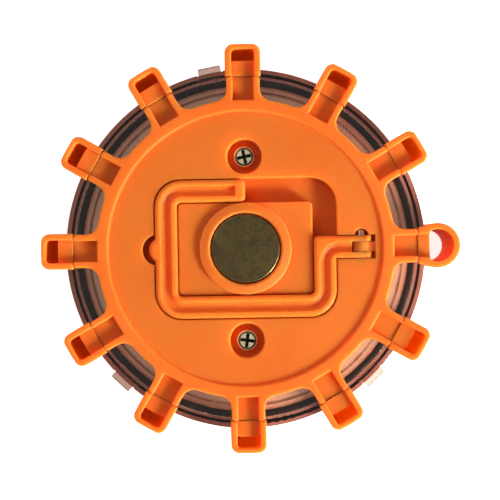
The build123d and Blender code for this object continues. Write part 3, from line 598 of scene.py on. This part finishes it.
side_leds = sorted(n for n in nodes if n.startswith("side_led_"))
bm_solder = bmesh.new()
for node in side_leds:
    number = node[-2:]
    spots = [v.co for v in nodes[node].data.vertices]
    centre = middle(*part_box(node))
    angle = atan2(centre.y, centre.x)
    reach = [p.x * cos(angle) + p.y * sin(angle) for p in spots]
    top = max(p.z for p in spots)
    lens_r = (top - board_high.z - LED_RIM * 1.5) / 2
    axis_z = top - lens_r - LED_RIM
    base = min(reach) + LED_LEGS
    round_axis = Matrix.Rotation(angle, 4, "Z")
    lens_at = round_axis @ Matrix.Translation((base, 0, axis_z)) @ ALONG_X
    lens = led_lens("led_lens_" + number, lens_at, lens_r, max(reach) - base, LED_RIM, red_epoxy)
    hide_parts(node)
    foot = board_high.z - axis_z
    bent = [(0.2 * MM, 0), (-1.0 * MM, 0), (-1.18 * MM, -0.08 * MM), (-LEG_BACK, -0.3 * MM),
            (-LEG_BACK, foot)]
    leg_paths = [(bent, round_axis @ Matrix.Translation((base, y, axis_z)))
                 for y in (-LEG_HALF_PITCH, LEG_HALF_PITCH)]
    inside = lens_at @ Matrix.Rotation(pi / 2, 4, "Z")
    led_frame("led_frame_" + number, inside, lens_r, leg_paths)
    for y in (-LEG_HALF_PITCH, LEG_HALF_PITCH):
        joint = round_axis @ Matrix.Translation((base - LEG_BACK, y, board_high.z))
        turn_profile(bm_solder, [(0, 0), (0.58 * MM, 0), (0.55 * MM, 0.06 * MM), (0.38 * MM, 0.2 * MM),
                                 (0.3 * MM, 0.5 * MM), (0, 0.55 * MM)], joint, 14)
bright_solder = plated("bright solder", "#DAD9D4", "#B4B2AA", rough=0.18, spot_mm=0.5)
solder = finish_mesh(bm_solder, "solder_joints", bright_solder, 60)

# ---------------------------------------------------------------------------------------------
# Torch LEDs and reflector: three 5 mm lamps in water-clear epoxy stand in the cups of a white
# glossy moulding, which is staked to the front of the board.
# ---------------------------------------------------------------------------------------------
clear_epoxy = clear_plastic("water-clear epoxy", ("#EDF0F2", "#FAFBFC"), rough=0.02, ior=1.53,
                            wave_mm=3)
white_abs = grained_abs("glossy white ABS", "#EDEBE4", "#E2DED2", "#F6F5F0",
                        grain_mm=0.7, rough=0.26, edge_mm=0.15)
paint("reflector", white_abs)
for node in sorted(n for n in nodes if n.startswith("front_led_")):
    low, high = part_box(node)
    radius = (high.x - low.x) / 2
    centre = middle(low, high)
    hang = Matrix.Translation((centre.x, centre.y, high.z)) @ Matrix.Rotation(pi, 4, "X")
    lens = led_lens("torch_lens_" + node[-1], hang, radius, high.z - low.z, 0.0, clear_epoxy)
    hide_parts(node)
    led_frame("torch_frame_" + node[-1], hang, radius, [])

# ---------------------------------------------------------------------------------------------
# Push switch and power button: the switch is a small black moulding with a white plunger. The
# button is black silicone with a dished face and a raised ring, trapped behind the hub.
# ---------------------------------------------------------------------------------------------
BUTTON_R, BUTTON_ROUND = 6.4 * MM, 0.5 * MM
BUTTON_DISH = 0.5 * MM
DISH_IN = 1.1 * MM          # from the button's side to its dish
FLANGE_FROM, FLANGE_TO = 1.65 * MM, 2.45 * MM
STEM_R = 1.5 * MM
MARK_R, MARK_W = 2.6 * MM, 0.45 * MM
paint("switch_body", black_epoxy)
paint("switch_plunger", white_abs)
silicone = rubber("black silicone rubber", "#1F1E1D", "#45413C", rough=0.48, edge_mm=0.2)
low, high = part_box("power_button")
face_z, flange_r = low.z, (high.x - low.x) / 2
flange_low, flange_top = face_z + FLANGE_FROM, face_z + FLANGE_TO
dish_r = BUTTON_R - DISH_IN
bm = bmesh.new()
turn_profile(bm, [(0, face_z + BUTTON_DISH * 0.8), (MARK_R - MARK_W, face_z + BUTTON_DISH * 0.75),
                  (MARK_R - MARK_W * 0.6, face_z + BUTTON_DISH * 0.3),
                  (MARK_R + MARK_W * 0.6, face_z + BUTTON_DISH * 0.3),
                  (MARK_R + MARK_W, face_z + BUTTON_DISH * 0.7),
                  (dish_r * 0.85, face_z + BUTTON_DISH * 0.5), (dish_r, face_z)]
             + arc(BUTTON_R - BUTTON_ROUND, face_z + BUTTON_ROUND, BUTTON_ROUND, -90, 0)
             + [(BUTTON_R, flange_low), (flange_r, flange_low), (flange_r, flange_top),
                (STEM_R, flange_top), (STEM_R, high.z), (0, high.z)], Matrix.Identity(4), 72)
button = finish_mesh(bm, "button_cap", silicone, 40)
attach(button, "button")
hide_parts("power_button")

# ---------------------------------------------------------------------------------------------
# Battery tray: a plain grey ABS moulding that holds three cells side by side. Four small screws
# go through its ears and the board into the front housing.
# ---------------------------------------------------------------------------------------------
BOARD_HEAD_R, BOARD_HEAD_H, BOARD_SHANK_R = 2.1 * MM, 1.3 * MM, 1.05 * MM
grey_abs = grained_abs("grained grey ABS", "#8F9294", "#84878A", "#A9ABAC",
                       grain_mm=0.5, rough=0.45, edge_mm=0.2)
paint("battery_tray", grey_abs)
bright_zinc = plated("bright zinc", "#CFD1D2", "#A3A7AA", rough=0.25, spot_mm=0.3)
low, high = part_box("board_screws")
corners = [(x, y) for x in (low.x + BOARD_HEAD_R, high.x - BOARD_HEAD_R)
           for y in (low.y + BOARD_HEAD_R, high.y - BOARD_HEAD_R)]
for number, (x, y) in enumerate(corners, 1):
    screw = cross_screw(f"board_screw_{number}", x, y, low.z, high.z - BOARD_HEAD_H, high.z, BOARD_HEAD_R,
                        BOARD_SHANK_R, 25 * number, bright_zinc)
    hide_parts("board_screws")

# ---------------------------------------------------------------------------------------------
# Cells and contacts: three alkaline cells, each a drawn steel can in a shrunk plain sleeve. They
# lie between nickel-plated plates and wound spring-wire coils.
# ---------------------------------------------------------------------------------------------
SLEEVE_T = 0.08 * MM
SLEEVE_LIP = 0.9 * MM
SLEEVE_JOIN = 8 * MM        # along the cells, where the sleeve's colour changes
CAN_ROUND = 0.5 * MM
NUB_R, NUB_L, NUB_ROUND = 2.75 * MM, 1.2 * MM, 0.3 * MM
WIRE_R, COIL_TURNS, COIL_STEPS = 0.26 * MM, 4, 24
COIL_WIDE_R, COIL_NARROW_R = 3.2 * MM, 2.0 * MM
COIL_FLAT = 0.18            # share of the wire that lies flat at each end


def shrunk_sleeve():
    """Shrunk PVC sleeve: glossy, lightly creased round the can, one half paler than the other."""
    made, tree, shader, place = start("shrunk PVC sleeve")
    spot = add(tree, "SeparateXYZ", {"Vector": place})
    join = {0: spot.outputs[0], 1: SLEEVE_JOIN - 0.1 * MM, 2: SLEEVE_JOIN, 3: 0.0, 4: 1.0}
    side = add(tree, "MapRange", join).outputs[0]
    blue, silver = linear("#3E5F7C"), linear("#C9CFD3")
    body = add(tree, "Mix", {0: side, 6: blue, 7: silver}, data_type="RGBA").outputs[2]
    cloud = add(tree, "TexNoise", {"Vector": place, "Scale": per(2.5), "Detail": 3.0}).outputs[0]
    tone = add(tree, "MapRange", {0: cloud, 1: 0.3, 2: 0.7, 3: 0.92, 4: 1.06}).outputs[0]
    body = add(tree, "VectorMath", {0: body, 3: tone}, operation="SCALE").outputs[0]
    crease = add(tree, "Mapping", {"Vector": place, "Scale": (0.15, 1.0, 1.0)}).outputs[0]
    fold = add(tree, "TexNoise", {"Vector": crease, "Scale": per(1.5), "Detail": 2.0}).outputs[0]
    sheen = add(tree, "MapRange", {0: cloud, 1: 0.3, 2: 0.7, 3: 0.16, 4: 0.30}).outputs[0]
    bump = add(tree, "Bump", {"Strength": 0.3, "Distance": 0.05 * MM, "Height": fold})
    feed(tree, shader, Base_Color=body, Roughness=sheen, IOR=1.54, Normal=bump.outputs[0])
    return made


sleeve_pvc = shrunk_sleeve()
can_steel = plated("nickel-plated can", "#C8C5BC", "#9F9B90", rough=0.26, spot_mm=0.5,
                   stretch=(0.2, 1.0, 1.0))
spring_steel = plated("nickel-plated spring wire", "#CFCCC4", "#A6A298", rough=0.24, spot_mm=0.3)
cells = sorted(n for n in nodes if n.startswith("battery_") and n != "battery_tray")
for node in cells:
    low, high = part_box(node)
    way = 1 if high.x > -low.x else -1
    base_x, nub_x = (low.x, high.x) if way > 0 else (high.x, low.x)
    radius, length = (high.z - low.z) / 2, high.x - low.x
    centre = middle(low, high)
    upright = Matrix.Translation((base_x, centre.y, centre.z)) @ Matrix.Rotation(way * pi / 2, 4, "Y")
    steel_r, shoulder = radius - SLEEVE_T, length - NUB_L
    bm = bmesh.new()
    turn_profile(bm, [(0, 0.15 * MM), (radius * 0.72, 0.15 * MM), (radius * 0.76, 0),
                      (steel_r - CAN_ROUND, 0)]
                 + arc(steel_r - CAN_ROUND, CAN_ROUND, CAN_ROUND, -80, 0)
                 + [(steel_r, shoulder - 1.6 * MM), (steel_r - 0.25 * MM, shoulder - 1.2 * MM),
                    (steel_r - 0.05 * MM, shoulder - 0.8 * MM)]
                 + arc(steel_r - CAN_ROUND, shoulder - CAN_ROUND, 0.45 * MM, 0, 90)
                 + [(NUB_R + 0.4 * MM, shoulder - 0.1 * MM), (NUB_R, shoulder + 0.1 * MM)]
                 + arc(NUB_R - NUB_ROUND, length - NUB_ROUND, NUB_ROUND, 0, 90)
                 + [(0, length)], upright, 56)
    can = finish_mesh(bm, "cell_can_" + node[-1], can_steel)
    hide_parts(node)
    bm = bmesh.new()
    turn_profile(bm, [(radius - SLEEVE_LIP, 0.06 * MM)]
                 + arc(radius - CAN_ROUND, CAN_ROUND, 0.47 * MM, -85, 0)
                 + [(radius, 0.6 * MM), (radius, shoulder - 1.4 * MM),
                    (radius - 0.2 * MM, shoulder - 1.1 * MM), (radius, shoulder - 0.7 * MM)]
                 + arc(radius - CAN_ROUND, shoulder - CAN_ROUND, CAN_ROUND, 0, 85)
                 + [(radius - SLEEVE_LIP, shoulder - 0.02 * MM)], upright, 56)
    sleeve = finish_mesh(bm, "cell_sleeve_" + node[-1], sleeve_pvc, 50)

    # Coil from its wide foot on the contact plate to its narrow end on the can's base. The tray is
    # alike at both ends, so the plate is as far out as the nub's end.
    foot_x, tip_x = -nub_x, base_x
    wide, narrow = COIL_WIDE_R - WIRE_R, COIL_NARROW_R - WIRE_R
    line = bpy.data.curves.new("coil_line", "CURVE")
    line.dimensions = "3D"
    line.bevel_depth = WIRE_R
    line.bevel_resolution = 3
    line.use_fill_caps = True
    spline = line.splines.new("POLY")
    count = COIL_TURNS * COIL_STEPS
    spline.points.add(count)
    span = (tip_x - foot_x) - way * 2 * WIRE_R
    for k in range(count + 1):
        share = k / count
        rise = min(1.0, max(0.0, (share - COIL_FLAT) / (1 - 2 * COIL_FLAT)))
        coil_r = wide + (narrow - wide) * rise
        angle = tau * COIL_TURNS * share
        spline.points[k].co = (foot_x + way * WIRE_R + span * rise, centre.y + coil_r * cos(angle),
                               centre.z + coil_r * sin(angle), 1)
    shape = bpy.data.objects.new("coil_line", line)
    bm = bmesh.new()
    bm.from_mesh(bpy.data.meshes.new_from_object(shape))
    coil = finish_mesh(bm, "contact_coil_" + node[-1], spring_steel, 70)
    bpy.data.objects.remove(shape)
    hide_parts("contact_springs")

nickel = plated("nickel-plated strip", "#CFCCC2", "#A9A598", rough=0.25, spot_mm=0.4,
                stretch=(1.0, 1.0, 0.08))
for node in ("contact_negative", "contact_positive", "contact_bridge_a", "contact_bridge_b"):
    paint(node, nickel)

# ---------------------------------------------------------------------------------------------
# Studio: a pale table top, a large soft lamp low at one side, a weak one opposite, and a camera
# that looks straight down on the flare's back.
# ---------------------------------------------------------------------------------------------
FLOOR_HALF = 3.0
FLOOR_DOWN = 0.02 * MM
CAMERA_UP = 0.497           # above the flare's back face
CAMERA_SIDE = (1.13 * MM, -0.40 * MM)
CAMERA_ROLL = -1.0          # degrees
FRAME_W = 131.7 * MM        # width of the view at the back face
bm = bmesh.new()
bmesh.ops.create_grid(bm, x_segments=8, y_segments=8, size=FLOOR_HALF)
mesh = bpy.data.meshes.new("floor")
bm.to_mesh(mesh)
bm.free()
floor = bpy.data.objects.new("floor", mesh)
floor.location = (0, 0, -FLOOR_DOWN)
bpy.context.scene.collection.objects.link(floor)
table, tree, shader, place = start("white table top")
fibre = add(tree, "TexNoise", {"Vector": place, "Scale": per(30), "Detail": 3.0}).outputs[0]
dim, bright = linear("#F6F6F5"), linear("#FBFBFB")
tone = add(tree, "Mix", {0: fibre, 6: dim, 7: bright}, data_type="RGBA").outputs[2]
# Lit from below like a light table, and it throws only a third of that light on the flare
seen = add(tree, "LightPath").outputs["Is Camera Ray"]
lit = add(tree, "MapRange", {0: seen, 1: 0.0, 2: 1.0, 3: 0.28, 4: 0.85}).outputs[0]
feed(tree, shader, Base_Color=tone, Roughness=0.7, Emission_Color=linear("#FFFFFF"),
     Emission_Strength=lit)
mesh.materials.append(table)


def softbox(name, place, side, watts, colour):
    """Square soft lamp that faces the flare."""
    lamp = bpy.data.lights.new(name, "AREA")
    lamp.size = side
    lamp.energy = watts
    lamp.color = linear(colour)[:3]
    made = bpy.data.objects.new(name, lamp)
    made.location = place
    made.rotation_euler = (-Vector(place)).to_track_quat("-Z", "Y").to_euler()
    bpy.context.scene.collection.objects.link(made)


# Places in metres from the flare's middle, which stands on the table
softbox("key_lamp", (0.80, -0.58, 0.50), 0.34, 24.3, "#FFFDFA")
softbox("fill_lamp", (-0.60, 0.55, 0.85), 0.9, 2.0, "#FFFFFF")

# White walls that reach up to the horizon, and a greyer ceiling
world = bpy.data.worlds.new("studio")
world.use_nodes = True
bpy.context.scene.world = world
tree = world.node_tree
tree.nodes.clear()
up = add(tree, "SeparateXYZ", {"Vector": add(tree, "TexCoord").outputs["Generated"]}).outputs[2]
height = add(tree, "MapRange", {0: up, 1: 0.05, 2: 0.60, 3: 0.0, 4: 1.0}).outputs[0]
wall, ceiling = linear("#FFFFFF"), linear("#868686")
sky = add(tree, "Mix", {0: height, 6: wall, 7: ceiling}, data_type="RGBA").outputs[2]
glow = add(tree, "Background", {"Color": sky, "Strength": 1.02}).outputs[0]
add(tree, "OutputWorld", {"Surface": glow})

back_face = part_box("back_cover")[1].z
lens = bpy.data.cameras.new("camera")
lens.lens = lens.sensor_width * CAMERA_UP / FRAME_W
lens.clip_start = 0.01
camera = bpy.data.objects.new("camera", lens)
camera.location = (*CAMERA_SIDE, back_face + CAMERA_UP)
camera.rotation_euler = (0, 0, radians(CAMERA_ROLL))
bpy.context.scene.collection.objects.link(camera)
bpy.context.scene.camera = camera
bpy.context.scene.view_settings.view_transform = "Standard"
